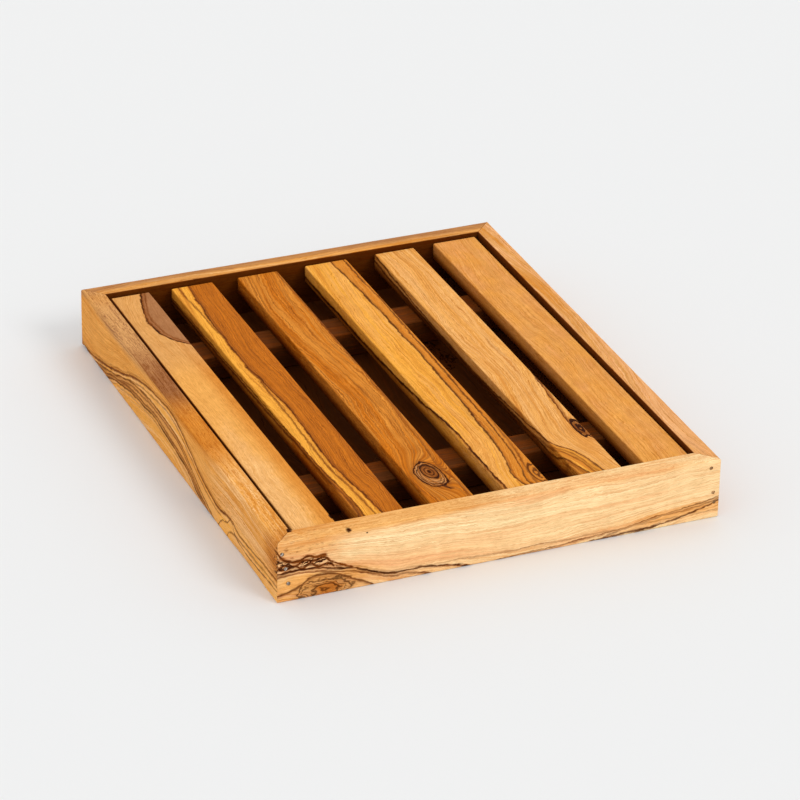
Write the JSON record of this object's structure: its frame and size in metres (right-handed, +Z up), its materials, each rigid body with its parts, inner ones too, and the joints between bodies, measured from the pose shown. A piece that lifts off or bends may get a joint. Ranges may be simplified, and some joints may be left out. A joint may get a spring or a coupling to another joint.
{
  "type": "bread board with crumb tray",
  "caption": "Rectangular wooden bread board: a shallow mitred tray with a loose slatted grate inside, which holds the loaf and lets crumbs fall through.",
  "frame": {"origin": "centre of the tray's underside, on the table", "axes": "+X along the front rail to the right, +Y along the slats from front to back, +Z up"},
  "size_m": [0.3, 0.366, 0.0425],
  "materials": {
    "rail_front_wood": "oiled olive wood, pale",
    "rail_side_wood": "oiled olive wood, honey brown",
    "slat_wood": "oiled olive wood, golden",
    "under_wood": "oiled olive wood, brown",
    "fastener_steel": "bright steel wire"
  },
  "bodies": {
    "tray": {"front_rail": "rail_front_wood", "back_rail": "rail_side_wood", "left_rail": "rail_side_wood", "right_rail": "rail_side_wood", "floor_board": "under_wood", "brad_front_left_1": "fastener_steel", "brad_front_left_2": "fastener_steel", "brad_front_left_3": "fastener_steel", "brad_front_right_1": "fastener_steel", "brad_front_right_2": "fastener_steel", "brad_front_right_3": "fastener_steel", "brad_back_left_1": "fastener_steel", "brad_back_left_2": "fastener_steel", "brad_back_left_3": "fastener_steel", "brad_back_right_1": "fastener_steel", "brad_back_right_2": "fastener_steel", "brad_back_right_3": "fastener_steel"},
    "grate": {"slat_1": "slat_wood", "slat_2": "slat_wood", "slat_3": "slat_wood", "slat_4": "slat_wood", "slat_5": "slat_wood", "slat_6": "slat_wood", "front_batten": "under_wood", "back_batten": "under_wood", "pin_front_1": "fastener_steel", "pin_front_2": "fastener_steel", "pin_front_3": "fastener_steel", "pin_front_4": "fastener_steel", "pin_front_5": "fastener_steel", "pin_front_6": "fastener_steel", "pin_back_1": "fastener_steel", "pin_back_2": "fastener_steel", "pin_back_3": "fastener_steel", "pin_back_4": "fastener_steel", "pin_back_5": "fastener_steel", "pin_back_6": "fastener_steel"}
  },
  "joints": [
    {"name": "grate_lift", "type": "slide", "parent": "tray", "child": "grate", "axis": [0, 0, 1], "range_m": [0, 0.06]}
  ]
}
